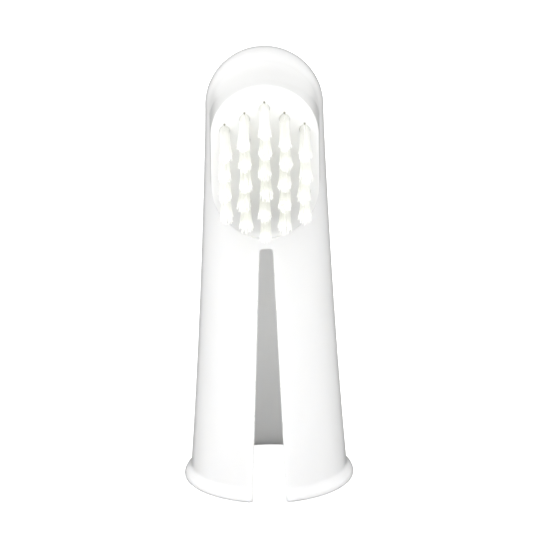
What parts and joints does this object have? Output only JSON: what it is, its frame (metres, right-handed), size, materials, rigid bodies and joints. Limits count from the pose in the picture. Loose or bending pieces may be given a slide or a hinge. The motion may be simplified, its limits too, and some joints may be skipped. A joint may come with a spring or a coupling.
{
  "type": "pet finger toothbrush",
  "caption": "Finger-sleeve toothbrush for pets: a domed, tapered plastic sleeve, slotted up the front, with an obround pad of staggered bristle tufts near its tip.",
  "frame": {"origin": "centre of the footprint in X and Y, midway from the bristle tips to the back of the rim, on the plane the rim stands on", "axes": "+Z along the sleeve from the open rim to the closed domed tip; -Y the way the bristles point, square to the pad; +X to the right as seen facing the bristles with the dome up. The sleeve's own axis is parallel to Z at X 0, Y +3.4 mm"},
  "size_m": [0.0224, 0.0292, 0.06],
  "materials": {
    "sleeve_plastic": "white moulded plastic, semi-gloss",
    "bristle_nylon": "white nylon filament, satin, slightly translucent",
    "anchor_metal": "nickel silver plate, rolled"
  },
  "bodies": {
    "root": {"finger_sleeve": "sleeve_plastic", "bristle_tuft_a1": "bristle_nylon", "bristle_tuft_a2": "bristle_nylon", "bristle_tuft_a3": "bristle_nylon", "bristle_tuft_a4": "bristle_nylon", "bristle_tuft_b1": "bristle_nylon", "bristle_tuft_b2": "bristle_nylon", "bristle_tuft_b3": "bristle_nylon", "bristle_tuft_b4": "bristle_nylon", "bristle_tuft_b5": "bristle_nylon", "bristle_tuft_c1": "bristle_nylon", "bristle_tuft_c2": "bristle_nylon", "bristle_tuft_c3": "bristle_nylon", "bristle_tuft_c4": "bristle_nylon", "bristle_tuft_c5": "bristle_nylon", "bristle_tuft_c6": "bristle_nylon", "bristle_tuft_d1": "bristle_nylon", "bristle_tuft_d2": "bristle_nylon", "bristle_tuft_d3": "bristle_nylon", "bristle_tuft_d4": "bristle_nylon", "bristle_tuft_d5": "bristle_nylon", "bristle_tuft_e1": "bristle_nylon", "bristle_tuft_e2": "bristle_nylon", "bristle_tuft_e3": "bristle_nylon", "bristle_tuft_e4": "bristle_nylon", "anchor_plate_a1": "anchor_metal", "anchor_plate_a2": "anchor_metal", "anchor_plate_a3": "anchor_metal", "anchor_plate_a4": "anchor_metal", "anchor_plate_b1": "anchor_metal", "anchor_plate_b2": "anchor_metal", "anchor_plate_b3": "anchor_metal", "anchor_plate_b4": "anchor_metal", "anchor_plate_b5": "anchor_metal", "anchor_plate_c1": "anchor_metal", "anchor_plate_c2": "anchor_metal", "anchor_plate_c3": "anchor_metal", "anchor_plate_c4": "anchor_metal", "anchor_plate_c5": "anchor_metal", "anchor_plate_c6": "anchor_metal", "anchor_plate_d1": "anchor_metal", "anchor_plate_d2": "anchor_metal", "anchor_plate_d3": "anchor_metal", "anchor_plate_d4": "anchor_metal", "anchor_plate_d5": "anchor_metal", "anchor_plate_e1": "anchor_metal", "anchor_plate_e2": "anchor_metal", "anchor_plate_e3": "anchor_metal", "anchor_plate_e4": "anchor_metal"}
  },
  "joints": []
}
